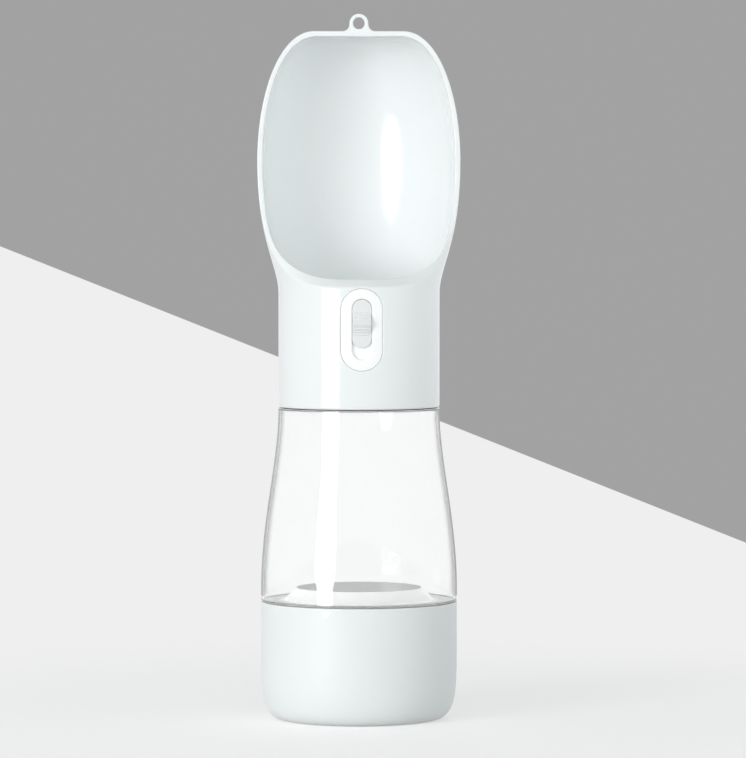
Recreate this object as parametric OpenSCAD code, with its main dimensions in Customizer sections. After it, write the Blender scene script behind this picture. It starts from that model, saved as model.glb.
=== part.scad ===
// Travel water bottle for a dog. A drinking bowl with a push-button valve screws on a clear water
// bottle, and the bottle screws on a food cup. Sizes are in millimetres. The base stands on z = 0,
// the bottle's axis is the Z axis, and the bowl and its button face -Y.

/* [Food cup] */
// Outside diameter of the food cup and of the bottle's foot
cup_d = 75; // [72:0.5:82]
// Height of the food cup from the floor to its rim
cup_h = 45; // [40:0.5:60]
// Wall of the food cup below its thread
cup_wall = 2.6; // [2:0.1:2.9]
// Wall of the food cup beside its thread
cup_rim_wall = 2.95; // [2.95:0.05:3.5]
// Thickness of the food cup's floor
cup_floor = 2.6; // [2:0.1:4]
// Outside diameter of the flat ring that the food cup stands on
foot_d = 58; // [54:0.5:62]
// Diameter of the shallow hollow inside that ring
foot_hollow_d = 52; // [40:0.5:53]
// Depth of that hollow
foot_hollow = 0.8; // [0.4:0.1:1.2]
// Width of the raised triangle that marks where the cup shuts
mark_w = 4.1; // [3:0.1:6]
// Height of that triangle
mark_h = 2.4; // [2:0.1:4]
// Distance of that triangle from the cup's rim
mark_drop = 1.3; // [1:0.1:3]

/* [Water bottle] */
// Height of the clear bottle between its two seams
bottle_h = 73.8; // [65:0.1:110]
// Wall of the clear bottle
bottle_wall = 1.8; // [1.4:0.1:2.2]
// Thickness of the bottle's floor
bottle_floor = 1.6; // [1.2:0.1:2]
// Height of the raised middle of the floor
punt_h = 3.4; // [2.5:0.1:6]
// Diameter of the raised middle at its top
punt_top_d = 47.6; // [40:0.2:48]
// Diameter of the raised middle at its foot
punt_foot_d = 57.6; // [54:0.2:58]
// Depth of the threaded skirt that goes down into the food cup
skirt_h = 11.9; // [11:0.1:14]
// Wall of that skirt
skirt_wall = 2.1; // [1.8:0.1:2.4]
// Outside diameter of the neck under its thread
neck_d = 47.2; // [44:0.2:47.4]
// Height of the neck above the shoulder
neck_h = 9.6; // [9.5:0.1:13]
// Wall of the neck
neck_wall = 2; // [1.6:0.1:2.4]

/* [Threads] */
// Height of both threads above their walls
thread_h = 1.2; // [0.9:0.05:1.3]
// Gap between mating threads, across and along
thread_gap = 0.35; // [0.3:0.01:0.4]
// Rise of the neck thread in one turn, with two starts
neck_lead = 7; // [6.6:0.1:7.6]
// Rise of the food cup's thread in one turn, with three starts
cup_lead = 12; // [11:0.1:13]

/* [Seals] */
// Thickness of the flat gasket on the bottle's lip
neck_gasket_t = 1.6; // [1.2:0.1:2]
// Height of the ring that seals the food cup
cup_ring_h = 2.3; // [1.8:0.1:2.8]
// Width of the ring that seals the food cup
cup_ring_w = 2.05; // [1.8:0.05:2.1]
// Height of the seal on the valve's head
valve_seal_t = 1.4; // [1:0.1:1.8]
// Height of the seal on top of the riser
riser_seal_t = 1.5; // [1:0.1:2]
// Thickness of the plunger's ring
plunger_ring_d = 1.6; // [1.2:0.1:1.7]

/* [Head] */
// Outside diameter of the head where it meets the bottle
head_d = 61.6; // [61:0.1:64]
// Wall of the head beside the valve carrier
head_wall = 2; // [1.8:0.05:2.2]
// Greatest width of the drinking bowl
bowl_d = 77.7; // [74:0.1:84]
// Wall of the drinking bowl
bowl_wall = 2; // [1.6:0.1:2.2]
// Wall between the button's opening and the bowl's front lip
lip_wall = 0.6; // [0.5:0.05:1.5]
// Height of the bowl above its front lip
bowl_h = 97.1; // [90:0.1:110]
// Height above the lip at which the bowl is widest
bowl_widest = 47.2; // [44:0.1:52]
// Width of the flat stretch along the bowl's top edge
bowl_flat_w = 34; // [28:0.5:38]
// Height above the lip at which the rim stops curving back
rim_turn = 36.2; // [32:0.1:40]
// Rise of the lip for each millimetre from outside to inside
lip_slope = 0.8; // [0.5:0.05:1]
// Thickness of the bowl's floor
bowl_floor = 2.2; // [1.8:0.1:2.6]

/* [Hanging loop] */
// Diameter of the hole in the loop
loop_hole_d = 4.5; // [3.5:0.1:5]
// Diameter of the loop
loop_d = 7.2; // [7:0.1:9]
// Thickness of the loop
loop_t = 2.6; // [2:0.1:4]

/* [Water button] */
// Width of the oval button
button_w = 15.6; // [15:0.1:17]
// Height of the oval button
button_h = 30.8; // [30:0.1:33]
// Depth of the button from its face to its back
button_t = 2.8; // [2.6:0.1:3]
// Gap round the button
button_gap = 0.25; // [0.2:0.01:0.3]
// Wall of the sleeve that guides the button
sleeve_wall = 1; // [0.8:0.1:1.4]
// How far the button can be pressed
button_travel = 3; // [2:0.1:3]
// Diameter of the plunger that the button pushes
plunger_d = 6; // [5.4:0.1:6.2]
// Height of the plunger above the button's middle
plunger_up = 5.1; // [4.9:0.05:5.3]

/* [Lock] */
// Width of the lock's slot in the button
slot_w = 7.5; // [7:0.1:8]
// Height of that slot
slot_h = 22.9; // [22.5:0.1:23.4]
// Depth of that slot
slot_depth = 1.5; // [1.3:0.05:1.6]
// Gap round the lock in its slot
lock_gap = 0.25; // [0.15:0.01:0.3]
// How far the lock slides down
lock_travel = 4.3; // [3.8:0.1:4.5]
// Height of the thumb ridge above the lock's face
ridge_h = 2.2; // [1.6:0.1:2.8]
// Number of grip grooves on each side of the ridge
grooves = 3; // [2:1:4]

/* [Valve] */
// Inside diameter of the riser that leads the water up
riser_bore_d = 12; // [11.6:0.1:13]
// Wall of the riser
riser_wall = 1.5; // [1.3:0.1:1.8]
// Diameter of the valve's stem
stem_d = 4; // [3.6:0.1:4.2]
// Diameter of the hole in the valve's seat
seat_d = 10.4; // [10:0.1:11]
// Thickness of the valve carrier's disc
carrier_t = 2.4; // [2:0.1:3]
// Wire of the two springs
wire_d = 0.6; // [0.5:0.05:0.7]
// Turns of the valve spring
valve_turns = 5; // [4:1:6]
// Turns of the button spring
button_turns = 7; // [5:1:8]

/* [Hidden] */
$fn = 96;

seam = 0.3;          // the visible gap at both seams
fit = 0.1;           // running clearance of the plunger, the stem and their rings
seat_gap = 0.2;      // clearance of pieces that stand in one another
grip = 0.03;         // clearance of a ring or a plug that is pressed on
cut = 1;             // how far a cut runs past the face that it opens
embed = 0.4;         // how deep a thread is rooted in its wall
edge = 0.3;          // chamfer of the outer edges at the two seams

// Heights, from the floor up
bottle_z = cup_h + seam;
seal_z = bottle_z - cup_ring_h;
shoulder_z = bottle_z + bottle_h;
head_z = shoulder_z + seam;
neck_top_z = shoulder_z + neck_h;
disc_z = neck_top_z + neck_gasket_t;
disc_top_z = disc_z + carrier_t;
button_z = disc_top_z + seat_gap + sleeve_wall + button_gap + button_h / 2;
plunger_z = button_z + plunger_up;
lip_z = button_z + button_h / 2 + button_gap + lip_wall;
rim_side_z = lip_z + rim_turn;
bowl_floor_z = lip_z + 0.2;
bowl_under_z = bowl_floor_z - bowl_floor;
widest_z = lip_z + bowl_widest;
bowl_top_z = lip_z + bowl_h;
riser_top_z = bowl_under_z - riser_seal_t;

// Radii
cup_r = cup_d / 2;
head_r = head_d / 2;
bowl_r = bowl_d / 2;
neck_r = neck_d / 2;
cup_bore_r = cup_r - cup_rim_wall;
skirt_r = cup_bore_r - thread_gap - thread_h;
collar_bore_r = neck_r + thread_h + thread_gap;
head_bore_r = head_r - head_wall;
ledge_r = head_bore_r - 0.8;
outlet_r = 5.5;
back_y = button_t - head_r;
plunger_r = plunger_d / 2;
stem_r = stem_d / 2;
riser_bore_r = riser_bore_d / 2;
riser_r = riser_bore_r + riser_wall;

// A point on a Bezier curve with four control points, and the curve in steps
function bezier(p, t) =
    pow(1 - t, 3) * p[0] + 3 * pow(1 - t, 2) * t * p[1] + 3 * (1 - t) * t * t * p[2] + pow(t, 3) * p[3];
function curve(p, steps) = [for (i = [0:steps]) bezier(p, i / steps)];
// An arc round c, from angle a to angle b
function arc(c, r, a, b, steps = 6) =
    [for (i = [0:steps]) c + r * [cos(a + (b - a) * i / steps), sin(a + (b - a) * i / steps)]];
function reversed(list) = [for (i = [len(list) - 1:-1:0]) list[i]];

// Outlines of the head and of the basin in it, as radius and height. The pulls are the lengths of
// the handles that bend each curve at its ends.
flare_start = 2.8;
flare_pull = [10, 30];
crown_pull = [27, 13];
dish_r = 20;
flare = [
    [head_r, lip_z - flare_start], [head_r, lip_z - flare_start + flare_pull[0]],
    [bowl_r, widest_z - flare_pull[1]], [bowl_r, widest_z]
];
crown = [
    [bowl_r, widest_z], [bowl_r, widest_z + crown_pull[0]],
    [bowl_flat_w / 2 + crown_pull[1], bowl_top_z], [bowl_flat_w / 2, bowl_top_z]
];
head_outline = concat(curve(flare, 24), curve(crown, 28));
basin_r = bowl_r - bowl_wall;
basin_top_z = bowl_top_z - bowl_wall;
basin_flat_r = bowl_flat_w / 2 - bowl_wall / 2;
basin_flare = [
    [dish_r, bowl_floor_z], [head_r - seam, bowl_floor_z],
    [basin_r - seam, widest_z - flare_pull[1]], [basin_r, widest_z]
];
basin_crown = [
    [basin_r, widest_z], [basin_r, widest_z + crown_pull[0]],
    [basin_flat_r + crown_pull[1], basin_top_z], [basin_flat_r, basin_top_z]
];
heights_and_radii = [for (p = curve(flare, 60)) [p[1], p[0]]];
function head_radius(z) = lookup(z, heights_and_radii);

// Outline of the clear bottle between its foot and its shoulder, outside and inside
side_start = 4.7;
side_pull = [26, 20];
bottle_side = curve([
    [cup_r, bottle_z + side_start], [cup_r, bottle_z + side_start + side_pull[0]],
    [head_r, shoulder_z - side_pull[1]], [head_r, shoulder_z]
], 28);

// A tube of rings of points, closed by a flat face at each end
module sweep(rings) {
    sides = len(rings[0]);
    last = len(rings) - 1;
    polyhedron(
        points = [for (ring = rings) each ring],
        faces = concat(
            [[for (j = [sides - 1:-1:0]) j]],
            [for (i = [0:last - 1], j = [0:sides - 1], half = [0:1])
                let (a = i * sides + j, b = i * sides + (j + 1) % sides, c = b + sides, d = a + sides)
                half == 0 ? [a, c, d] : [a, b, c]],
            [[for (j = [0:sides - 1]) last * sides + j]]
        )
    );
}

// Screw threads: each start is a ridge wound on a wall of radius r, and side is 1 outside, -1 inside.
// It rises from a tenth of its height at both ends.
thread_step = 10;
thread_run_in = 20;
thread_flank = 0.5;
function thread_section(r, side, root_w, crest_w, share, angle, z) =
    [for (p = [[-embed, -root_w / 2], [thread_h * share, -crest_w / 2],
               [thread_h * share, crest_w / 2], [-embed, root_w / 2]])
        [(r + side * p[0]) * cos(angle), (r + side * p[0]) * sin(angle), z + p[1]]];
module threads(r, side, starts, lead, sweep_angle, z) {
    pitch = lead / starts;
    root_w = pitch / 2 - thread_gap + thread_flank;
    crest_w = root_w - 2 * thread_flank;
    steps = round(sweep_angle / thread_step);
    for (k = [0:starts - 1]) {
        rings = [for (i = [0:steps])
            let (turned = sweep_angle * i / steps,
                 share = min(1, 0.1 + min(turned, sweep_angle - turned) / thread_run_in),
                 angle = 360 * k / starts + turned)
            thread_section(r, side, root_w, crest_w, share, angle, z + lead * turned / 360)];
        sweep(side > 0 ? rings : [for (ring = rings) reversed(ring)]);
    }
}
neck_thread_up = 2.6;
neck_thread_z = shoulder_z + neck_thread_up;
neck_thread_sweep = 220;
cup_thread_down = 1.3;
cup_thread_sweep = 110;
cup_thread_z = seal_z - cup_thread_down - cup_lead / 6 - cup_lead * cup_thread_sweep / 360;

// A coil spring along Z, from z = 0 up to its height, as one unbroken tube
curl_rings = 8;
wire_sides = 6;
function coil_path(r, turns, height) =
    [for (i = [0:turns * curl_rings])
        let (a = 360 * i / curl_rings)
        [r * cos(a), r * sin(a), wire_d / 2 + (height - wire_d) * i / (turns * curl_rings)]];
function coil_round(shaft_r) = (shaft_r + seat_gap + wire_d / 2) / cos(180 / curl_rings);
module coil(r, turns, height) {
    path = coil_path(r, turns, height);
    lean = atan((height - wire_d) / (turns * 2 * PI * r));
    next_turn = [for (i = [0:len(path) - 1 - curl_rings]) norm(path[i + curl_rings] - path[i])];
    echo(least_gap_between_turns = min(next_turn) - wire_d);
    sweep([for (i = [0:len(path) - 1])
        let (a = 360 * i / curl_rings)
        [for (j = [0:wire_sides - 1])
            let (b = 360 * j / wire_sides, u = wire_d / 2 * cos(b), v = wire_d / 2 * sin(b))
            [path[i][0] + u * cos(a) + v * sin(lean) * sin(a),
             path[i][1] + u * sin(a) - v * sin(lean) * cos(a),
             path[i][2] + v * cos(lean)]]]);
}

module ring(inner, outer, z0, z1) {
    translate([0, 0, z0])
        difference() {
            cylinder(r = outer, h = z1 - z0);
            translate([0, 0, -cut]) cylinder(r = inner, h = z1 - z0 + 2 * cut);
        }
}

// A flat oval with round ends, w wide and h high
module oval(w, h) {
    square([w, h - w], center = true);
    for (s = [-1, 1]) translate([0, s * (h - w) / 2]) circle(d = w);
}

// Stands a flat outline up, facing -Y at height z, and runs it from y = front to y = back
module facing(z, front, back) {
    translate([0, back, z]) rotate([90, 0, 0]) linear_extrude(height = back - front) children();
}

// Food cup: one moulding with its thread inside the rim
seal_pocket_r = skirt_r + seat_gap + cup_ring_w + seat_gap;
cup_inner_r = cup_r - cup_wall;
skirt_z = bottle_z - skirt_h;
cup_turn = [[cup_r, cup_h * 0.53], [cup_r, cup_h * 0.22], [cup_r - 0.6, 0], [foot_d / 2, 0]];
cup_inner_turn = [
    [foot_d / 2 - 2, cup_floor], [cup_r - 3.4, cup_floor],
    [cup_inner_r, cup_floor + 8], [cup_inner_r, cup_floor + 20]
];
mark_angle = -19.3;
mark_t = 0.15;
module food_cup() {
    color("whitesmoke") {
        rotate_extrude() polygon(concat(
            [[0, foot_hollow], [foot_hollow_d / 2 - foot_hollow, foot_hollow], [foot_hollow_d / 2, 0]],
            reversed(curve(cup_turn, 16)),
            [[cup_r, cup_h - edge], [cup_r - edge, cup_h], [seal_pocket_r, cup_h], [seal_pocket_r, seal_z],
             [cup_bore_r, seal_z], [cup_bore_r, skirt_z - 1], [cup_inner_r, skirt_z - 3]],
            reversed(curve(cup_inner_turn, 12)),
            [[0, cup_floor]]
        ));
        threads(cup_bore_r, -1, 3, cup_lead, cup_thread_sweep, cup_thread_z + cup_lead / 6);
        rotate([0, 0, mark_angle]) intersection() {
            facing(cup_h - mark_drop, -cup_r - cut, -cup_r + cut)
                polygon([[-mark_w / 2, 0], [mark_w / 2, 0], [0, -mark_h]]);
            cylinder(r = cup_r + mark_t, h = cup_h);
        }
    }
}

// Square silicone ring round the bottle's skirt, squeezed between the bottle and the food cup
module cup_seal_ring() {
    color("gainsboro") ring(skirt_r + seat_gap, skirt_r + seat_gap + cup_ring_w, seal_z, bottle_z);
}

// Clear bottle: neck and skirt are threaded, and the floor is raised in the middle
module water_bottle() {
    inner_neck_r = neck_r - neck_wall;
    roof_t = 2;
    roof_z = shoulder_z - roof_t;
    turn_r = 3;
    corner_r = 1.5;
    floor_z = bottle_z + bottle_floor;
    punt_z = floor_z + punt_h;
    color("azure", 0.35) {
        rotate_extrude() polygon(concat(
            [[0, punt_z - bottle_floor], [punt_top_d / 2 - 0.6, punt_z - bottle_floor],
             [punt_foot_d / 2 - 0.9, bottle_z], [skirt_r - skirt_wall, bottle_z],
             [skirt_r - skirt_wall, skirt_z], [skirt_r, skirt_z], [skirt_r, bottle_z],
             [cup_r - edge, bottle_z], [cup_r, bottle_z + edge]],
            bottle_side,
            [[neck_r, shoulder_z], [neck_r, neck_top_z - 0.5], [neck_r - 0.5, neck_top_z], [inner_neck_r, neck_top_z]],
            arc([inner_neck_r + roof_t, shoulder_z], roof_t, 180, 270),
            arc([head_r - bottle_wall - turn_r, roof_z - turn_r], turn_r, 90, 0),
            reversed([for (q = bottle_side) if (q[1] < roof_z - turn_r - 0.5) [q[0] - bottle_wall, q[1]]]),
            arc([cup_r - bottle_wall - corner_r, floor_z + corner_r], corner_r, 0, -90),
            [[punt_foot_d / 2, floor_z], [punt_top_d / 2 + 0.5, punt_z - 0.4],
             [punt_top_d / 2 - 0.3, punt_z], [0, punt_z]]
        ));
        threads(neck_r, 1, 2, neck_lead, neck_thread_sweep, neck_thread_z);
        threads(skirt_r, 1, 3, cup_lead, cup_thread_sweep, cup_thread_z);
    }
}

// Flat silicone ring between the bottle's lip and the valve carrier
module neck_gasket() {
    color("gainsboro") ring(neck_r - neck_wall - 0.6, neck_r + 0.8, neck_top_z, disc_z);
}

// Everything in front of the bowl's rim. The rim starts level at the front lip, turns up along a
// quarter of an ellipse in side view, and goes straight up through the axis. Its face slopes inwards.
rim_steps = 28;
function rim_height(t) = rim_side_z - rim_turn * sin(t);
function rim_angle(t) = acos(head_r * (1 - cos(t)) / head_radius(rim_height(t)));
function rim_slope(t) = lip_slope * sin(t) * cos(rim_angle(t));
module front_cutter() {
    outer = 16;
    inner = 9;
    top = bowl_top_z + 10;
    half = [for (i = [0:rim_steps])
        let (t = 90 * i / rim_steps)
        [rim_angle(t), head_radius(rim_height(t)), rim_height(t), rim_slope(t)]];
    rim = concat([for (h = half) [-h[0], h[1], h[2], h[3]]], [for (i = [rim_steps - 1:-1:0]) half[i]]);
    n = len(rim);
    function at(h, d, z) = [(h[1] + d) * sin(h[0]), -(h[1] + d) * cos(h[0]), z];
    polyhedron(
        points = concat(
            [for (h = rim) at(h, outer, h[2] - outer * h[3])],
            [for (h = rim) at(h, -inner, h[2] + inner * h[3])],
            [for (h = rim) at(h, outer, top)],
            [[0, 0, rim_side_z], [0, 0, top]]
        ),
        faces = concat(
            [for (i = [0:n - 2]) each i < rim_steps
                ? [[i, i + 1, n + i + 1], [i, n + i + 1, n + i]]
                : [[i, i + 1, n + i], [i + 1, n + i + 1, n + i]]],
            [for (i = [0:n - 2]) each [[i, 2 * n + i, 2 * n + i + 1], [i, 2 * n + i + 1, i + 1]]],
            [for (i = [0:n - 2]) [n + i, n + i + 1, 3 * n]],
            [for (i = [0:n - 2]) [2 * n + i, 3 * n + 1, 2 * n + i + 1]],
            [[0, n, 2 * n], [n, 3 * n + 1, 2 * n], [n, 3 * n, 3 * n + 1]],
            [[n - 1, 3 * n - 1, 2 * n - 1], [3 * n - 1, 3 * n + 1, 2 * n - 1], [3 * n + 1, 3 * n, 2 * n - 1]]
        )
    );
}

// Loop for a strap, on the bowl's flat top edge, in one piece with the head
loop_z = bowl_top_z + 3;
loop_foot = 2.6;
loop_root = 0.8;
module hang_loop() {
    facing(0, 0, loop_t) difference() {
        union() {
            translate([0, loop_z]) circle(d = loop_d);
            difference() {
                translate([-loop_d / 2 - loop_foot, bowl_top_z - loop_root])
                    square([loop_d + 2 * loop_foot, loop_foot + loop_root]);
                for (s = [-1, 1])
                    translate([s * (loop_d / 2 + loop_foot), bowl_top_z + loop_foot]) circle(r = loop_foot);
            }
        }
        translate([0, loop_z]) circle(d = loop_hole_d);
    }
}

// Head: the drinking bowl and the housing of the valve, in one moulding
button_rim_t = 1;
sleeve_y = back_y + button_rim_t + button_travel + seam;
head_edge = 0.5;
vault = 3;
spigot_wall = 1.4;
spigot_h = 1.2;
module head_body() {
    difference() {
        rotate_extrude() polygon(concat(
            [[0, head_z], [head_r - head_edge, head_z], [head_r, head_z + head_edge]],
            head_outline,
            [[0, bowl_top_z]]
        ));
        rotate_extrude() polygon(concat(
            [[0, bowl_floor_z]], curve(basin_flare, 20), curve(basin_crown, 24), [[0, basin_top_z]]
        ));
        rotate_extrude() polygon([
            [0, head_z - cut], [head_bore_r, head_z - cut], [head_bore_r, disc_top_z], [ledge_r, disc_top_z],
            [ledge_r, bowl_under_z - vault], [ledge_r - vault, bowl_under_z], [0, bowl_under_z]
        ]);
    }
}
module button_sleeve() {
    sleeve = button_gap + sleeve_wall;
    intersection() {
        facing(button_z, -head_r, sleeve_y) oval(button_w + 2 * sleeve, button_h + 2 * sleeve);
        cylinder(r = head_r - head_edge, h = bowl_floor_z);
    }
}
module head_shell() {
    color("whitesmoke") {
        hang_loop();
        difference() {
            union() {
                head_body();
                button_sleeve();
                ring(riser_r + seat_gap, riser_r + seat_gap + spigot_wall, riser_top_z - spigot_h, bowl_under_z + embed);
            }
            facing(button_z, -head_r - cut, sleeve_y + cut)
                oval(button_w + 2 * button_gap, button_h + 2 * button_gap);
            translate([0, 0, bowl_under_z - cut]) cylinder(r = outlet_r, h = bowl_floor + 2 * cut);
            front_cutter();
        }
    }
}

// Slotted cap on the outlet in the bowl's floor
module outlet_strainer() {
    flange_t = 0.9;
    slit_pitch = 2.2;
    slit = [1.2, 6, 3];
    color("white") difference() {
        union() {
            translate([0, 0, bowl_floor_z]) cylinder(r1 = outlet_r + 1.7, r2 = outlet_r + 1.1, h = flange_t);
            translate([0, 0, bowl_under_z + embed]) cylinder(r = outlet_r - fit, h = bowl_floor);
        }
        translate([0, 0, bowl_under_z]) cylinder(r = outlet_r - 1, h = bowl_floor);
        for (i = [-1:1])
            translate([i * slit_pitch - slit[0] / 2, -slit[1] / 2, bowl_floor_z - cut]) cube(slit);
    }
}

// Inner frame of the head: threaded collar, valve seat, riser with the stem's guide, and plunger port
port_r = plunger_r + 2.9;
gland_bore_r = plunger_r + fit + plunger_ring_d;
gland_y = -14;
ring_y = -9.4;
collar_up = 1.1;
carrier_r = head_bore_r - seat_gap;
guide_z = disc_top_z + 2.8;
guide_h = 4;
hub_r = stem_r + 1.8;
rib_t = 1.6;
rib_reach = 17;
rib_h = 13;
module valve_carrier() {
    color("lightgray") {
        difference() {
            union() {
                translate([0, 0, disc_z]) cylinder(r = carrier_r, h = carrier_t);
                ring(collar_bore_r, carrier_r, head_z + collar_up, disc_z + cut);
                translate([0, 0, disc_z]) cylinder(r = riser_r, h = riser_top_z - disc_z);
                translate([0, 0, plunger_z]) rotate([90, 0, 0]) cylinder(r = port_r, h = -gland_y);
                for (a = [45:90:315])
                    rotate([0, 0, a]) translate([0, -rib_t / 2, disc_z]) cube([rib_reach, rib_t, rib_h]);
            }
            translate([0, 0, disc_z - cut]) cylinder(d = seat_d, h = carrier_t + 2 * cut);
            translate([0, 0, disc_top_z]) cylinder(r = riser_bore_r, h = riser_top_z - disc_top_z + cut);
            translate([0, 0, plunger_z]) rotate([90, 0, 0]) cylinder(r = plunger_r + fit, h = cut - gland_y);
            translate([0, ring_y, plunger_z]) rotate([90, 0, 0]) cylinder(r = gland_bore_r, h = cut + ring_y - gland_y);
        }
        difference() {
            union() {
                translate([0, 0, guide_z]) cylinder(r = hub_r, h = guide_h);
                for (a = [90:120:330])
                    rotate([0, 0, a]) translate([0, -rib_t / 2, guide_z])
                        cube([riser_bore_r + embed, rib_t, guide_h - 1]);
            }
            translate([0, 0, guide_z - cut]) cylinder(r = stem_r + fit, h = guide_h + 2 * cut);
        }
        threads(collar_bore_r, -1, 2, neck_lead, neck_thread_sweep, neck_thread_z + neck_lead / 4);
    }
}

// Flat seal that closes the joint of the riser and the bowl's floor
module riser_seal() {
    color("gainsboro") ring(riser_bore_r, riser_r, riser_top_z, bowl_under_z);
}

// Ring that is pressed into the port and keeps the plunger's seal in
gland_back_y = ring_y - plunger_ring_d - seat_gap;
module plunger_gland() {
    color("white") translate([0, gland_back_y, plunger_z]) rotate([90, 0, 0])
        ring(plunger_r + fit, gland_bore_r, 0, gland_back_y - gland_y);
}

// Round silicone ring in the port, round the plunger
module plunger_o_ring() {
    color("dimgray") translate([0, (ring_y + gland_back_y) / 2, plunger_z]) rotate([90, 0, 0])
        rotate_extrude() translate([plunger_r + fit + plunger_ring_d / 2, 0]) circle(d = plunger_ring_d);
}

// Water button: an oval that follows the head's curve, with the lock's slot in its face
slot_z = button_z + 0.2;
slot_floor_y = slot_depth - head_r;
button_rim_w = 1;
socket_r = plunger_r + 0.6;
socket_h = 2;
lock_neck_w = 2;
lock_neck_h = 1.8;
lock_h = slot_h - lock_travel - 2 * lock_gap;
lock_z = slot_z + slot_h / 2 - lock_gap - lock_h / 2;
lock_neck_z = lock_z - 3.4;
window_w = lock_neck_w + 2 * seat_gap;
window_h = lock_neck_h + lock_travel + 2 * seat_gap;
module water_button() {
    color("white") difference() {
        union() {
            intersection() {
                facing(button_z, -head_r - cut, back_y) oval(button_w, button_h);
                cylinder(r = head_r, h = lip_z);
            }
            facing(button_z, back_y, back_y + button_rim_t) difference() {
                oval(button_w, button_h);
                oval(button_w - 2 * button_rim_w, button_h - 2 * button_rim_w);
            }
            translate([0, back_y, plunger_z]) rotate([-90, 0, 0])
                ring(plunger_r + grip, socket_r, -embed, socket_h);
        }
        facing(slot_z, -head_r - cut, slot_floor_y) oval(slot_w, slot_h);
        translate([-window_w / 2, slot_floor_y - cut, lock_neck_z - lock_neck_h / 2 - lock_travel - seat_gap])
            cube([window_w, button_t + cut, window_h]);
    }
}

// Plunger: plugs into the button's back, runs through the port and ends in a 45 degree wedge
nose_r = plunger_r - 1;
nose_y = 2;
step_y = -5.5;
wedge_z = plunger_z - 0.5;
wedge_block = 20;
module wedge_cut(lower) {
    translate([0, 0, wedge_z]) rotate([45, 0, 0])
        translate([-wedge_block / 2, -wedge_block / 2, lower ? -wedge_block : 0]) cube(wedge_block);
}
module button_plunger() {
    color("white") difference() {
        translate([0, 0, plunger_z]) rotate([-90, 0, 0]) {
            translate([0, 0, back_y]) cylinder(r = plunger_r, h = step_y - back_y);
            translate([0, 0, back_y + cut]) cylinder(r = nose_r, h = nose_y - back_y - cut);
        }
        wedge_cut(true);
    }
}

// Lock: a sliding oval with a grooved thumb ridge, and a neck that runs through the button
face_y = 0.3 - head_r;
retainer_y = back_y + seat_gap;
retainer_t = 1.5;
ridge_half = 4.2;
ridge_tip = 0.3;
groove = 0.25;
groove_pitch = ridge_half / (grooves + 1);
function ridge_at(d) = ridge_h * (1 - d / ridge_half);
flank = [for (i = [0:grooves - 1])
    let (d = ridge_half - (i + 0.7) * groove_pitch)
    each [[d + groove, ridge_at(d + groove)], [d, ridge_at(d) - groove], [d - groove, ridge_at(d) + groove / 2]]];
module lock_slider() {
    width = slot_w - 2 * lock_gap;
    tip_y = face_y - ridge_h;
    foot_y = face_y + ridge_tip;
    color("gainsboro") {
        facing(lock_z, face_y, slot_floor_y - seat_gap) oval(width, lock_h);
        translate([-width / 2, 0, lock_z]) rotate([90, 0, 90]) linear_extrude(height = width) polygon(concat(
            [[foot_y, -ridge_half], [face_y, -ridge_half]],
            [for (p = flank) [face_y - p[1], -p[0]]],
            [[tip_y, -ridge_tip], [tip_y, ridge_tip]],
            [for (p = reversed(flank)) [face_y - p[1], p[0]]],
            [[face_y, ridge_half], [foot_y, ridge_half]]
        ));
        translate([-lock_neck_w / 2, slot_floor_y - 2 * seat_gap, lock_neck_z - lock_neck_h / 2])
            cube([lock_neck_w, retainer_y + retainer_t - slot_floor_y + 2 * seat_gap, lock_neck_h]);
    }
}

// Plate behind the button that keeps the lock in its slot. It stays clear of the spring above it.
retainer_w = 8.8;
retainer_up = 1.15;
retainer_down = 2.6;
module lock_retainer() {
    color("white") facing(lock_neck_z, retainer_y, retainer_y + retainer_t) difference() {
        translate([-retainer_w / 2, -retainer_down]) square([retainer_w, retainer_down + retainer_up]);
        square([lock_neck_w, lock_neck_h], center = true);
    }
}

// Valve stem: its head shuts the seat from below, and its top is the wedge's mate
seal_under_z = disc_z - valve_seal_t;
seal_r = seat_d / 2 + 2.2;
wedge_gap = 0.15;
plate_t = 1.6;
plate_z = seal_under_z - plate_t;
boss_t = 1;
module valve_stem() {
    color("white") difference() {
        union() {
            translate([0, 0, plate_z]) cylinder(r = stem_r, h = wedge_z + stem_r - plate_z);
            translate([0, 0, plate_z]) cylinder(r = seal_r - 0.6, h = plate_t);
            translate([0, 0, plate_z - boss_t]) cylinder(r1 = seal_r - 3, r2 = seal_r - 1.6, h = boss_t);
        }
        translate([0, 0, -wedge_gap]) wedge_cut(false);
    }
}
module valve_seal() {
    color("gainsboro") ring(stem_r + grip, seal_r, seal_under_z, disc_z);
}

// Collar on the stem that the valve spring pushes up
collar_z = plunger_z - 5.5;
collar_t = 1;
module stem_collar() {
    color("white") ring(stem_r + grip, stem_r + 2.4, collar_z, collar_z + collar_t);
}

module valve_spring() {
    spring_z = guide_z + guide_h;
    color("silver") translate([0, 0, spring_z]) coil(coil_round(stem_r), valve_turns, collar_z - spring_z);
}

module button_spring() {
    color("silver") translate([0, gland_y, plunger_z]) rotate([90, 0, 0])
        coil(coil_round(socket_r), button_turns, gland_y - back_y);
}

food_cup();
cup_seal_ring();
water_bottle();
neck_gasket();
head_shell();
outlet_strainer();
valve_carrier();
riser_seal();
plunger_gland();
plunger_o_ring();
button_spring();
valve_spring();
water_button();
button_plunger();
lock_slider();
lock_retainer();
valve_stem();
valve_seal();
stem_collar();
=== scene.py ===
import math

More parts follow.
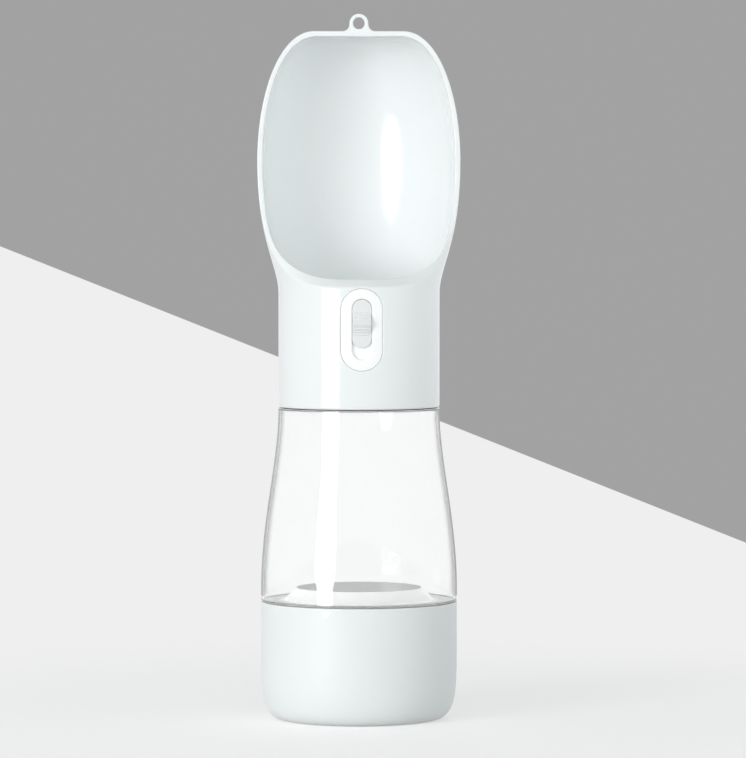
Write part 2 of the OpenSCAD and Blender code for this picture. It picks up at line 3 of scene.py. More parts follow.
import bmesh
import bpy
import numpy as np
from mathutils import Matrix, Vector


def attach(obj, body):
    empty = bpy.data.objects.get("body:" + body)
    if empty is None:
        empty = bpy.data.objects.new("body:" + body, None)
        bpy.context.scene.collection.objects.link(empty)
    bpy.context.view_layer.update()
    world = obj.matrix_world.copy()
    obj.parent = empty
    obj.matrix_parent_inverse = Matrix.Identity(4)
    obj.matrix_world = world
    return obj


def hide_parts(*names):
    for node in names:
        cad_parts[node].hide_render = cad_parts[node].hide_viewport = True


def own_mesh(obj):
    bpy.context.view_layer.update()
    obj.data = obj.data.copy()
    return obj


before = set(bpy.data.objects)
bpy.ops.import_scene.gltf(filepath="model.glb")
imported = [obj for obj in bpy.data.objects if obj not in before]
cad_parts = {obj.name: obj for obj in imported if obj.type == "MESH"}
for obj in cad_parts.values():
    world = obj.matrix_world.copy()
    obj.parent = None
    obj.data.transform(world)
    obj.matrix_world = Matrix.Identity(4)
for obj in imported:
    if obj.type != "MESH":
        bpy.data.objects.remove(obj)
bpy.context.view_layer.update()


# Floor and background. The floor is a plain pale sheet whose far edge runs off to the back left, with
# plain grey air above it. Glass and gloss see a white room instead of the grey, and the stage stands
# turned a little, because the object does not face the camera quite square.
class Signal:
    """A value inside a material or a node tree, so that sums on it can be written as plain maths."""

    def __init__(self, bench, socket):
        self.bench, self.socket = bench, socket

    def __add__(self, other):
        return self.bench.maths("ADD", self, other)

    def __radd__(self, other):
        return self.bench.maths("ADD", other, self)

    def __sub__(self, other):
        return self.bench.maths("SUBTRACT", self, other)

    def __rsub__(self, other):
        return self.bench.maths("SUBTRACT", other, self)

    def __mul__(self, other):
        return self.bench.maths("MULTIPLY", self, other)

    def __rmul__(self, other):
        return self.bench.maths("MULTIPLY", other, self)

    def __truediv__(self, other):
        return self.bench.maths("DIVIDE", self, other)

    def __pow__(self, other):
        return self.bench.maths("POWER", self, other)


class Workbench:
    """Lays nodes in a material, the world or a modifier, one call for each node."""

    shared = ("Math", "MapRange", "CombineXYZ", "SeparateXYZ")

    def __init__(self, tree, family="Shader"):
        self.tree, self.family = tree, family

    def node(self, kind, settings=None, sockets=None, out=0):
        family = "Shader" if kind in self.shared else self.family
        made = self.tree.nodes.new(family + "Node" + kind)
        for key, value in (settings or {}).items():
            setattr(made, key, value)
        for key, value in (sockets or {}).items():
            if isinstance(value, Signal):
                self.tree.links.new(value.socket, made.inputs[key])
            else:
                made.inputs[key].default_value = value
        return Signal(self, made.outputs[out])

    def maths(self, operation, *values):
        return self.node("Math", {"operation": operation}, dict(enumerate(values)))

    def near(self, value, middle, reach):
        """1 where a value lies within reach of the middle, and 0 elsewhere."""
        return self.maths("COMPARE", value, middle, reach)

    def ramp(self, value, low, high, to=1.0, kind="LINEAR"):
        """Rises from 0 to a level while the value goes from low to high."""
        return self.node("MapRange", {"interpolation_type": kind}, {
            "Value": value, "From Min": low, "From Max": high, "To Min": 0.0, "To Max": to})

    def xyz(self, x, y, z):
        """A vector from three values."""
        return self.node("CombineXYZ", {}, {0: x, 1: y, 2: z})

    def parts(self, vector):
        """The three values of a vector."""
        first = self.node("SeparateXYZ", {}, {0: vector})
        return [Signal(self, socket) for socket in first.socket.node.outputs]

    def noise(self, place, scale, detail, roughness=0.5):
        return self.node("TexNoise", {}, {
            "Vector": place, "Scale": scale, "Detail": detail, "Roughness": roughness})

    def colours(self, share, first, second):
        """A colour between two colours."""
        return self.node("Mix", {"data_type": "RGBA"}, {0: share, 6: (*first, 1), 7: (*second, 1)}, out=2)

    def relief(self, height, strength, distance):
        return self.node("Bump", {}, {"Strength": strength, "Distance": distance, "Height": height})

    def plastic(self, colour, **sockets):
        """A lit surface. Its other sockets are given by name, with low lines for spaces."""
        colour = colour if isinstance(colour, Signal) else (*colour, 1)
        return self.node("BsdfPrincipled", {}, {
            "Base Color": colour, **{key.replace("_", " "): value for key, value in sockets.items()}})

    def light(self, kind, level, strength=1.0):
        """A plain glow of one grey or colour, for a surface or for the room."""
        colour = level if isinstance(level, Signal) else (level, level, level, 1)
        return self.node(kind, {}, {"Color": colour, "Strength": strength})

    def seen_by(self, rays, others, shader):
        """One shader for rays of a kind, and another for all others."""
        return self.over(self.node("LightPath", out=f"Is {rays} Ray"), others, shader)

    def over(self, share, under, shader):
        """A shader laid over another by a share."""
        return self.node("MixShader", {}, {0: share, 1: under, 2: shader})

    def shown_by(self, kind, shader):
        """Joins the last shader to the output."""
        self.tree.links.new(shader.socket, self.tree.nodes.new(kind).inputs[0])


def placed(name, content):
    """A new object in the scene."""
    made = bpy.data.objects.new(name, content)
    bpy.context.scene.collection.objects.link(made)
    return made


def blank_paint(name):
    """A new material and its empty bench."""
    paint = bpy.data.materials.new(name)
    paint.use_nodes = True
    paint.node_tree.nodes.clear()
    return paint, Workbench(paint.node_tree)


mm = 0.001
stage_turn = math.radians(-2.05)
floor_edge = [(-26, -26), (0.98, -6.6), (0.225, 0.92), (-2.335, 26.5), (-26, 26.5)]
floor_mesh = bpy.data.meshes.new("floor")
floor_mesh.from_pydata([(x * math.cos(stage_turn) - y * math.sin(stage_turn),
                         x * math.sin(stage_turn) + y * math.cos(stage_turn), 0) for x, y in floor_edge],
                       [], [tuple(range(len(floor_edge)))])
floor_piece = placed("floor", floor_mesh)

floor_paint, bench = blank_paint("pale floor")
place = bench.node("TexCoord", out=3)
away = bench.node("VectorMath", {"operation": "LENGTH"}, {0: place}, out=1)
far_off = bench.ramp(away, 0.12, 0.34, kind="SMOOTHSTEP")
speckle = bench.noise(place, 900.0, 3.0)
lit = bench.plastic(bench.colours(speckle, (0.697, 0.697, 0.697), (0.703, 0.703, 0.703)),
                    Roughness=0.6, Specular_IOR_Level=0.1)
# the camera sees the floor lifted near the object and quite plain far from it
lifted = bench.node("AddShader", {}, {0: lit, 1: bench.light("Emission", 0.425)})
plain = bench.light("Emission", 0.863)
shown = bench.seen_by("Camera", lit, lifted)
shown = bench.over(bench.node("LightPath", out="Is Camera Ray") * far_off, shown, plain)
shown = bench.seen_by("Transmission", shown, bench.light("Emission", 1.0, 1.06))
shown = bench.seen_by("Glossy", shown, bench.node("BsdfTransparent"))
bench.shown_by("ShaderNodeOutputMaterial", shown)
floor_mesh.materials.append(floor_paint)

room = bpy.data.worlds.new("plain room")
room.use_nodes = True
room.node_tree.nodes.clear()
bench = Workbench(room.node_tree)
_, ahead, above = bench.parts(bench.node("TexCoord", out=3))
# the room is brightest level with the object and in front of it, and darkest overhead
level = bench.maths("MAXIMUM", 0.0, 0.79 - 0.73 * above - 0.16 * ahead)
soft = bench.light("Background", bench.colours(level, (0, 0, 0), (0.97, 1.0, 1.0)), 1.53)
shown = bench.seen_by("Glossy", soft, bench.light("Background", 1.0, 0.9))
shown = bench.seen_by("Transmission", shown, bench.light("Background", 1.0, 1.04))
shown = bench.seen_by("Camera", shown, bench.light("Background", 0.361))
bench.shown_by("ShaderNodeOutputWorld", shown)
bpy.context.scene.world = room


# Light and camera. A tall soft box stands at the front left, and the room's own light fills the rest.
# The camera is a long lens at the height of the bowl, almost square on to the front.
lamp_turn, lamp_far, lamp_high = math.radians(-40.6) + stage_turn, 1.5, 0.21
lamp = bpy.data.lights.new("tall soft box", "AREA")
lamp.shape, lamp.size, lamp.size_y, lamp.energy = "ELLIPSE", 0.68, 0.8, 10.9
stand = placed("tall soft box", lamp)
facing = Vector((math.sin(lamp_turn), -math.cos(lamp_turn), 0))
stand.location = facing * lamp_far + Vector((0, 0, lamp_high))
stand.rotation_mode = "QUATERNION"
stand.rotation_quaternion = facing.to_track_quat("Z", "Y")

eye_far, eye_high, aim_high, aim_right = 1.72, 0.1947, 0.130, 0.00535
camera = bpy.data.cameras.new("camera")
camera.lens, camera.sensor_width = 213.6, 36
camera.clip_start, camera.clip_end = 0.1, 60
eye = placed("camera", camera)
eye.location = (eye_far * math.sin(stage_turn), -eye_far * math.cos(stage_turn), eye_high)
eye.rotation_euler = (math.pi / 2 - math.atan2(eye_high - aim_high, eye_far), 0,
                      stage_turn - math.atan2(aim_right, eye_far))
bpy.context.scene.camera = eye
bpy.context.scene.view_settings.view_transform = "Standard"


# Food cup: the white tub that the bottle stands in. It is moulded in satin ABS with three short
# threads inside its rim, a square pocket for the seal, and a small raised triangle under the rim, whiter than
# the cup.
def bend(a, b, c, d, steps):
    """Points along a curve from a to d, pulled towards b and c."""
    t = np.linspace(0, 1, steps + 1)[:, None]
    a, b, c, d = (np.array(p, float) for p in (a, b, c, d))
    u = 1 - t
    return [tuple(p) for p in u ** 3 * a + 3 * u ** 2 * t * b + 3 * u * t * t * c + t ** 3 * d]


def eased(corners, steps=5):
    """An outline of corners as (radius, height, fillet). Points without a fillet stay as they are."""
    done = []
    for i, corner in enumerate(corners):
        here = np.array(corner[:2], float)
        fillet = corner[2] if len(corner) > 2 else 0
        if not fillet or i in (0, len(corners) - 1):
            done.append(tuple(here))
            continue
        before, after = (np.array(corners[j][:2], float) - here for j in (i - 1, i + 1))
        before, after = before / np.linalg.norm(before), after / np.linalg.norm(after)
        half = math.acos(max(-1, min(1, float(before @ after)))) / 2
        run = fillet / math.tan(half)
        middle = here + (before + after) / np.linalg.norm(before + after) * fillet / math.sin(half)
        start, stop = here + before * run - middle, here + after * run - middle
        sweep = math.atan2(start[0] * stop[1] - start[1] * stop[0], start @ stop)
        done.append(tuple(here + before * run * 1.25))
        for k in range(steps + 1):
            a = sweep * k / steps
            done.append(tuple(middle + (start[0] * math.cos(a) - start[1] * math.sin(a),
                                        start[0] * math.sin(a) + start[1] * math.cos(a))))
        done.append(tuple(here + after * run * 1.25))
    return done


def cleaned(shape, weld, sliver=1e-8, holes=0):
    """Merges a mesh's doubles, drops its slivers, fills its small holes and turns its faces outwards."""
    work = bmesh.new()
    work.from_mesh(shape)
    bmesh.ops.remove_doubles(work, verts=work.verts, dist=weld)
    if sliver:
        bmesh.ops.dissolve_degenerate(work, edges=work.edges, dist=sliver)
    if holes:
        bmesh.ops.holes_fill(work, edges=[e for e in work.edges if e.is_boundary], sides=holes)
    bmesh.ops.recalc_face_normals(work, faces=work.faces)
    work.to_mesh(shape)
    work.free()


def shaded(piece, smooth):
    piece.data.polygons.foreach_set("use_smooth", [smooth] * len(piece.data.polygons))


def mesh_piece(name, points, faces, weld=0.0004):
    """A piece from points in millimetres."""
    shape = bpy.data.meshes.new(name)
    shape.from_pydata([tuple(float(c) * mm for c in p) for p in points], [], faces)
    cleaned(shape, weld * mm)
    piece = placed(name, shape)
    shaded(piece, True)
    return piece


def block(name, *sides):
    """A plain box between two places along each axis."""
    corners = [(x, y, z) for x in sides[0] for y in sides[1] for z in sides[2]]
    return mesh_piece(name, corners, [
        (0, 1, 3, 2), (4, 6, 7, 5), (0, 4, 5, 1), (2, 3, 7, 6), (0, 2, 6, 4), (1, 5, 7, 3)])


def settled(piece):
    """The piece with its modifiers worked into a plain mesh."""
    graph = bpy.context.evaluated_depsgraph_get()
    shape = bpy.data.meshes.new_from_object(
        piece.evaluated_get(graph), preserve_all_data_layers=True, depsgraph=graph)
    piece.modifiers.clear()
    piece.data = shape
    shape.name = piece.name
    return piece


def carve(piece, tool, how):
    """Joins a tool to a piece, or cuts it out of it, and throws the tool away."""
    step = piece.modifiers.new("carve", "BOOLEAN")
    step.operation, step.solver, step.object = how, "EXACT", tool
    settled(piece)
    bpy.data.objects.remove(tool)


def piece_maker(name, **given):
    """A new node tree that makes a piece, with its bench and its inputs."""
    tree = bpy.data.node_groups.new(name, "GeometryNodeTree")
    for label, kind in given.items():
        tree.interface.new_socket(label, in_out="INPUT", socket_type="NodeSocket" + kind)
    tree.interface.new_socket("Piece", in_out="OUTPUT", socket_type="NodeSocketGeometry")
    bench = Workbench(tree, "Geometry")
    sockets = tree.nodes.new("NodeGroupInput").outputs
    return tree, bench, [Signal(bench, sockets[label]) for label in given]


def wheel(bench, turn, reach, height):
    """A place at an angle and a distance round the upright axis."""
    return bench.xyz(bench.maths("COSINE", turn) * reach, bench.maths("SINE", turn) * reach, height)


lathe, bench, (outline, steps, finish) = piece_maker(
    "lathe", Outline="Geometry", Steps="Int", Finish="Material")
rows = bench.node("AttributeDomainSize", {"component": "MESH"}, {0: outline})
sheet = bench.node("MeshGrid", {}, {"Size X": 1.0, "Size Y": 1.0, "Vertices X": rows, "Vertices Y": steps + 1})
spot = bench.node("InputPosition")
across, along, _ = bench.parts(spot)
row = bench.maths("ROUND", (across + 0.5) * (rows - 1))
angle = (along + 0.5) * math.tau
profile = bench.node("SampleIndex", {"data_type": "FLOAT_VECTOR"}, {0: outline, 1: spot, 2: row})
radius, _, height = bench.parts(profile)
turned_sheet = bench.node("SetPosition", {}, {0: sheet, 2: wheel(bench, angle, radius, height)})
turned_sheet = bench.node("MergeByDistance", {}, {0: turned_sheet, "Distance": 4e-7})
turned_sheet = bench.node("SetShadeSmooth", {}, {0: turned_sheet})
turned_sheet = bench.node("RealizeInstances", {}, {0: turned_sheet})
turned_sheet = bench.node("SetMaterial", {}, {0: turned_sheet, 2: finish})
bench.shown_by("NodeGroupOutput", turned_sheet)


def with_nodes(piece, tree, **values):
    """Runs a node tree on a piece with its inputs set by name, and keeps the plain result."""
    step = piece.modifiers.new(tree.name, "NODES")
    step.node_group = tree
    for item in tree.interface.items_tree:
        if item.in_out == "INPUT" and item.name in values:
            step[item.identifier] = values[item.name]
    return settled(piece)


def painted(piece, paint):
    """The piece in one finish all over."""
    piece.data.materials.clear()
    piece.data.materials.append(paint)
    piece.data.polygons.foreach_set("material_index", [0] * len(piece.data.polygons))
    return piece


def outwards(piece, paint):
    """The piece in one finish, with its doubles merged and its faces pointing outwards."""
    cleaned(piece.data, 2e-7)
    return painted(piece, paint)


def turned(name, outline, finish, steps=192):
    """A round piece, turned from an outline of radius and height in millimetres."""
    shape = bpy.data.meshes.new(name)
    points = [(r * mm, 0, z * mm) for r, z in outline]
    shape.from_pydata(points, [(i, i + 1) for i in range(len(points) - 1)], [])
    return outwards(with_nodes(placed(name, shape), lathe, Steps=steps, Finish=finish), finish)


def moulded(name, colour, roughness, mottle=0.012, grain=0.02):
    """Opaque moulded plastic: a skin with faint flow mottling, uneven gloss and a very fine pebble."""
    paint, bench = blank_paint(name)
    place = bench.node("TexCoord", out=3)
    flow = bench.noise(place, 38.0, 3.0, 0.55)
    haze = bench.noise(place, 210.0, 4.0, 0.6)
    pebble = bench.noise(place, 1500.0, 2.0)
    dark = tuple(c * (1 - mottle) for c in colour)
    light = tuple(min(1, c * (1 + mottle)) for c in colour)
    skin = bench.plastic(
        bench.colours(flow * 0.7 + haze * 0.3, dark, light), IOR=1.5,
        Roughness=roughness + (haze - 0.5) * 0.06 + (flow - 0.5) * 0.03,
        Normal=bench.relief(pebble * 0.6 + haze * 0.4, grain, 0.0002))
    bench.shown_by("ShaderNodeOutputMaterial", skin)
    return paint


cup_white = moulded("cup white", (0.86, 0.885, 0.888), roughness=0.42)

cup_r, cup_h, cup_bore, cup_pocket, pocket_z = 37.5, 45.0, 34.55, 35.45, 43.0
cup_in, cup_floor, cup_hollow, foot_ring = 34.9, 2.6, 0.8, 26.0
cup_outline = (
    [(0, cup_hollow), (20, cup_hollow)]
    + eased([(24, cup_hollow), (foot_ring - 0.4, cup_hollow, 0.5), (foot_ring, 0.0, 0.3), (28, 0)])
    + bend((29, 0), (cup_r - 0.6, 0), (cup_r, 0.22 * cup_h), (cup_r, 0.53 * cup_h), 28)
    + eased([(cup_r, 26), (cup_r, cup_h, 0.45), (cup_pocket, cup_h, 0.2), (cup_pocket, pocket_z, 0.1),
             (cup_bore, pocket_z, 0.1), (cup_bore, 32.4, 0.3), (cup_in, 30.4, 0.3), (cup_in, 27)])
    + bend((cup_in, 22.6), (cup_in, 10.6), (34.1, cup_floor), (27, cup_floor), 20)
    + [(20, cup_floor), (0, cup_floor)]
)
food_cup = turned("food_cup_shell", cup_outline, cup_white, 224)

thread, bench, (_, wall, lead, sweep, starts, low, root, crest, depth, inside, finish) = piece_maker(
    "thread", Geometry="Geometry", Radius="Float", Lead="Float", Sweep="Float", Starts="Int", Low="Float",
    Root="Float", Crest="Float", Depth="Float", Inside="Float", Finish="Material")
# a sheet of 73 stations by 5 corners, each start one closed tube, with its height drawn in at both ends
sheet = bench.node("MeshGrid", {}, {"Size X": 1.0, "Size Y": 1.0, "Vertices X": 73, "Vertices Y": 5})
along, around, _ = bench.parts(bench.node("InputPosition"))
way = along + 0.5
corner = bench.maths("ROUND", (around + 0.5) * 4)
share = bench.maths("MINIMUM", 1.0, 0.02 + bench.maths("MINIMUM", way, 1 - way) * 9)
outer = bench.near(corner, 1.5, 0.6)
upper = bench.near(corner, 2.5, 0.6)
rise = outer * depth * share - (1 - outer) * 0.0004
tall = (upper * 2 - 1) * (outer * crest + (1 - outer) * root) / 2
turn = way * sweep
ridge = bench.node("SetPosition", {}, {0: sheet, 2: wheel(
    bench, turn, wall + inside * rise, low + turn * lead / math.tau + tall)})
ring_of = bench.node("MeshCircle", {"fill_type": "NONE"}, {"Vertices": starts, "Radius": 1e-7})
spread = bench.xyz(0.0, 0.0, bench.node("InputIndex") * math.tau / starts)
ridges = bench.node("InstanceOnPoints", {}, {"Points": ring_of, "Instance": ridge, "Rotation": spread})
ridges = bench.node("RealizeInstances", {}, {0: ridges})
ridges = bench.node("MergeByDistance", {}, {0: ridges, "Distance": 2e-6})
ridges = bench.node("SetShadeSmooth", {}, {0: ridges, 2: False})
bench.shown_by("NodeGroupOutput", bench.node("SetMaterial", {}, {0: ridges, 2: finish}))
thread_depth, thread_down = 1.2, 1.3


def screw_ridges(name, finish, lead, sweep, radius, low, root, crest, **others):
    """Closed screw ridges with flat ends, ready to be joined to a wall. Sizes are in millimetres."""
    piece = with_nodes(placed(name, bpy.data.meshes.new(name)), thread, Finish=finish, Lead=lead * mm,
                       Sweep=math.radians(sweep), Radius=radius * mm, Low=low * mm, Root=root * mm,
                       Crest=crest * mm, Depth=thread_depth * mm, **others)
    cleaned(piece.data, 2e-6, sliver=0, holes=8)
    return piece


cup_lead, cup_sweep, cup_root, cup_crest = 12.0, 110.0, 2.15, 1.15
cup_thread_z = pocket_z - thread_down - cup_lead / 6 - cup_lead * cup_sweep / 360
carve(food_cup, screw_ridges(
    "cup threads", cup_white, cup_lead, cup_sweep, cup_bore, cup_thread_z + cup_lead / 6, cup_root, cup_crest,
    Starts=3, Inside=-1.0), "UNION")
painted(food_cup, cup_white)

# a shallow raised triangle, whiter than the cup, with a soft edge that follows the cup's side
mark_turn, mark_half, mark_h, mark_top = math.radians(-21.4), 2.05, 2.4, cup_h - 1.3
mark_points, mark_faces = [], []
for lift, grow in ((-0.3, 0.12), (0.02, 0.12), (0.11, 0.05), (0.15, -0.04)):
    for x, z in ((-mark_half - grow, grow * 0.6), (mark_half + grow, grow * 0.6), (0, -mark_h - grow)):
        a = mark_turn + x / cup_r
        mark_points.append(((cup_r + lift) * math.sin(a), -(cup_r + lift) * math.cos(a), mark_top + z))
for i in range(3):
    for j in range(3):
        mark_faces.append((3 * i + j, 3 * i + (j + 1) % 3, 3 * i + 3 + (j + 1) % 3, 3 * i + 3 + j))
mark_faces += [(0, 1, 2), (9, 10, 11)]
mark = mesh_piece("food_cup_mark", mark_points, mark_faces)
mark_white = moulded("mark white", (0.97, 0.985, 0.985), roughness=0.3)
painted(mark, mark_white)
shaded(mark, False)
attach(mark, "food_cup")
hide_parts("food_cup")
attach(food_cup, "food_cup")


# Seals: soft silicone rings, left plain and slightly clear. One lies under the bottle in the cup's
# pocket, one on the bottle's lip, one on the riser and one on the valve's head.
def rubber(name, colour, roughness=0.5, clear=0.15):
    """Silicone: dull and slightly milky, with moulding dust in it."""
    paint, bench = blank_paint(name)
    place = bench.node("TexCoord", out=3)
    cloud = bench.noise(place, 90.0, 4.0)
    dust = bench.node("TexVoronoi", {}, {"Vector": place, "Scale": 1400.0})
    dark, light = [c * 0.95 for c in colour], [min(1, c * 1.04) for c in colour]
    skin = bench.plastic(
        bench.colours(cloud, dark, light), Roughness=roughness + (cloud - 0.5) * 0.12, IOR=1.41,
        Normal=bench.relief(dust * 0.5 + cloud, 0.08, 0.0001), Transmission_Weight=clear)
    bench.shown_by("ShaderNodeOutputMaterial", skin)
    return paint


def finish_with(node, paint):
    """Gives a carried-over piece its finish."""
    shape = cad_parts[node].data
    shape.materials.clear()
    shape.materials.append(paint)


silicone = rubber("clear silicone", (0.82, 0.84, 0.84))
for node in ("neck_gasket", "riser_seal", "valve_seal"):
    finish_with(node, silicone)
ring_in, ring_out, ring_low, ring_high, ring_edge = 33.2, 35.25, 43.0, 45.3, 0.25
ring_middle = ((ring_in + ring_out) / 2, ring_low)
cup_ring = turned("cup_seal", eased([
    ring_middle, (ring_out, ring_low, ring_edge), (ring_out, ring_high, ring_edge),
    (ring_in, ring_high, ring_edge), (ring_in, ring_low, ring_edge), ring_middle], 4), silicone)
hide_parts("cup_seal_ring")
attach(cup_ring, "cup_seal")


# Water bottle: blown and moulded in clear copolyester. Its waist swells to the cup's width, its floor
# is raised in the middle, and it has a threaded neck above and a threaded skirt below.
def clear_moulding(name, colour):
    """Clear plastic, smooth and bright with a breath of haze. Its hidden faces are satin and send light back."""
    paint, bench = blank_paint(name)
    place = bench.node("TexCoord", out=3)
    melt = bench.noise(place, 22.0, 3.0)
    fine = bench.noise(place, 320.0, 3.0)
    relief = bench.relief(melt, 0.006, 0.0006)
    tint = bench.colours(melt, [c * 0.995 for c in colour], colour)
    glass = bench.plastic(tint, Roughness=0.02 + (fine - 0.5) * 0.01, Normal=relief, IOR=1.45,
                          Transmission_Weight=1.0)
    milk = bench.plastic((0.95, 0.96, 0.96), Roughness=0.25, Normal=relief)
    clear = bench.over(0.04 * (0.7 + melt * 0.6), glass, milk)

    # the parts of the bottle, by height and by distance from its axis
    side_x, side_y, height = bench.parts(place)
    radius = (side_x * side_x + side_y * side_y) ** 0.5
    foot_seam, top_seam, cone_in = 45.38 * mm, 118.95 * mm, 23.9 * mm
    hidden = bench.maths("GREATER_THAN", height, top_seam) + bench.maths("LESS_THAN", height, foot_seam)
    side_wall = bench.near(height, 83.0 * mm, 35.6 * mm)
    cone = bench.near(radius, cone_in + 2.3 * mm, 2.3 * mm) * bench.near(height, 48.0 * mm, 2.6 * mm)
    disc = bench.maths("LESS_THAN", radius, cone_in) * bench.near(height, 50.0 * mm, 0.6 * mm)

    # seen along the wall, the clear plastic is mixed with an opaque grey: painted shade for its dark side edges,
    # more than its own long path through the wall would give
    facing_away = bench.node("LayerWeight", {}, {"Blend": 0.5}, out=1)
    along_wall = bench.ramp(facing_away, 0.66, 0.90, 0.85, "SMOOTHSTEP")
    edge_painted_shade = bench.plastic((0.30, 0.30, 0.31), Roughness=0.4, Specular_IOR_Level=0.1)
    satin = bench.plastic((0.97, 0.975, 0.975), Roughness=0.35, Metallic=1.0, Normal=relief)
    # the raised floor's cone glows a little, for the light that the clear walls gather into it
    glow = bench.plastic((0.95, 0.96, 0.96), Roughness=0.25, Normal=relief, Emission_Color=(1, 1, 1, 1),
                         Emission_Strength=0.28)
    # the raised floor's disc is half grey: painted shade, for the shaded cup floor seen through it
    disc_painted_shade = bench.plastic((0.78, 0.78, 0.78), Roughness=0.3, Normal=relief)
    shown = bench.over(along_wall * side_wall, clear, edge_painted_shade)
    shown = bench.over(hidden, shown, satin)
    shown = bench.over(cone, shown, glow)
    shown = bench.over(disc * 0.5, shown, disc_painted_shade)
    bench.shown_by("ShaderNodeOutputMaterial", shown)
    return paint


clear_plastic = clear_moulding("clear copolyester", (0.985, 0.992, 0.992))

bottle_z, shoulder_z, neck_top = 45.3, 119.1, 128.7
foot_r, shoulder_r, wall, neck_r, neck_in = 37.5, 30.8, 0.95, 23.6, 21.6
skirt_out, skirt_in, skirt_low, web = 33.0, 30.9, 33.4, 0.32
floor_under, floor_over = 49.7, 50.3
side = bend((foot_r, bottle_z + 4.7), (foot_r, bottle_z + 30.7), (shoulder_r, shoulder_z - 20),
            (shoulder_r, shoulder_z - 0.9), 48)
inner_side = [(r - wall, z) for r, z in side if bottle_z + 6 < z < shoulder_z - 6.2]
bottle_outline = (
    [(0, floor_under)]
    + eased([(16, floor_under), (23.4, floor_under, 0.6), (28.0, bottle_z, 0.6), (skirt_in, bottle_z, 0.3),
             (skirt_in, skirt_low, 0.4), (skirt_out, skirt_low, 0.4), (skirt_out, bottle_z, 0.25),
             (foot_r, bottle_z, 0.5), (foot_r, bottle_z + 3)])
    + side
    + eased([(shoulder_r, shoulder_z - 0.8), (shoulder_r, shoulder_z, 0.25), (neck_r, shoulder_z, 0.4),
             (neck_r, neck_top, 0.5), (neck_in, neck_top, 0.4), (neck_in, shoulder_z - web, 0.4),
             (shoulder_r - wall, shoulder_z - web, 0.5), (shoulder_r - wall + 0.05, shoulder_z - 6)])
    + inner_side[::-1]
    + eased([(foot_r - wall, bottle_z + 5.5), (foot_r - wall, bottle_z + web, 0.5), (28.6, bottle_z + web, 0.6),
             (24.0, floor_over, 0.8), (17, floor_over)])
    + [(0, floor_over)]
)
water_bottle = turned("water_bottle_shell", bottle_outline, clear_plastic, 256)
neck_lead, neck_sweep, neck_root, neck_crest = 7.0, 220.0, 1.9, 0.9
carve(water_bottle, screw_ridges(
    "neck threads", clear_plastic, neck_lead, neck_sweep, neck_r, shoulder_z + 2.6, neck_root, neck_crest,
    Starts=2, Inside=1.0), "UNION")
carve(water_bottle, screw_ridges(
    "skirt threads", clear_plastic, cup_lead, cup_sweep, skirt_out, cup_thread_z, cup_root, cup_crest,
    Starts=3, Inside=1.0), "UNION")
painted(water_bottle, clear_plastic)
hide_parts("water_bottle")
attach(water_bottle, "bottle")


# Valve carrier and valve: the inner frame is light grey ABS pressed into the head, with white acetal
# stem, collar and plunger gland, and black silicone round the plunger.
frame_grey = moulded("frame grey", (0.52, 0.535, 0.54), roughness=0.32, mottle=0.03, grain=0.05)
finish_with("valve_carrier", frame_grey)
valve_white = moulded("valve white", (0.83, 0.84, 0.83), roughness=0.28, mottle=0.02, grain=0.04)
for node in ("plunger_gland", "valve_stem", "stem_collar", "button_plunger", "lock_retainer", "outlet_strainer"):
    finish_with(node, valve_white)
o_ring_black = rubber("black silicone", (0.03, 0.03, 0.032), roughness=0.42, clear=0.0)
finish_with("plunger_o_ring", o_ring_black)


# Head: one white ABS moulding, a cylinder that opens out into the drinking bowl. The bowl's front is
# cut away in one sweep with a rounded rim, and a hang loop stands on its top. Inside are the bore for
# the bottle's neck, the seat of the inner frame and the oval sleeve that the button slides in.
head_white = moulded("head white", (0.86, 0.885, 0.888), roughness=0.12)
head_r, head_z, lip_z, side_z, floor_z, top_z, roof_z = 30.8, 119.4, 165.4, 202.0, 166.0, 262.9, 260.9
widest_z, widest_o, widest_i, crown_o, crown_i, dish_r = 213, 38.85, 36.85, 17, 16, 14
edge_z, bore_r, seat_r, seat_z, ceiling_z = head_z + 1.6, 28.8, 28.0, 132.7, 163.8
spigot_out, spigot_in, spigot_z, outlet_r = 9.1, 7.7, 161.1, 5.5


class Chart:
    """A turned skin laid out flat: a height along its outline, and an angle from the front."""

    def __init__(self, outline):
        self.points = np.array(outline, float)
        self.run = np.concatenate([[0], np.cumsum(np.linalg.norm(np.diff(self.points, axis=0), axis=1))])

    def radius(self, run):
        return np.interp(run, self.run, self.points[:, 0])

    def height(self, run):
        return np.interp(run, self.run, self.points[:, 1])

    def run_at(self, z):
        return np.interp(z, self.points[:, 1], self.run)

    def point(self, angle, run):
        r = self.radius(run)
        return (r * math.sin(angle), -r * math.cos(angle), self.height(run))


def growing(length, first, most, rate=1.28):
    """Steps from 0 to 1 that start small and grow, so that a rounded edge keeps its shading to itself."""
    steps, step = [0.0], first
    while steps[-1] < length:
        steps.append(steps[-1] + step)
        step = min(step * rate, most)
    return np.array(steps) / steps[-1]


outer = Chart([(head_r, edge_z)]
              + bend((head_r, 163), (head_r, 173), (widest_o, 183), (widest_o, widest_z), 600)
              + bend((widest_o, widest_z), (widest_o, 240), (30, top_z), (crown_o, top_z), 600))
inner = Chart([(dish_r, floor_z)]
              + bend((20, floor_z), (30.5, floor_z), (36.55, 183), (widest_i, widest_z), 600)
              + bend((widest_i, widest_z), (widest_i, 240), (29, roof_z), (crown_i, roof_z), 600))

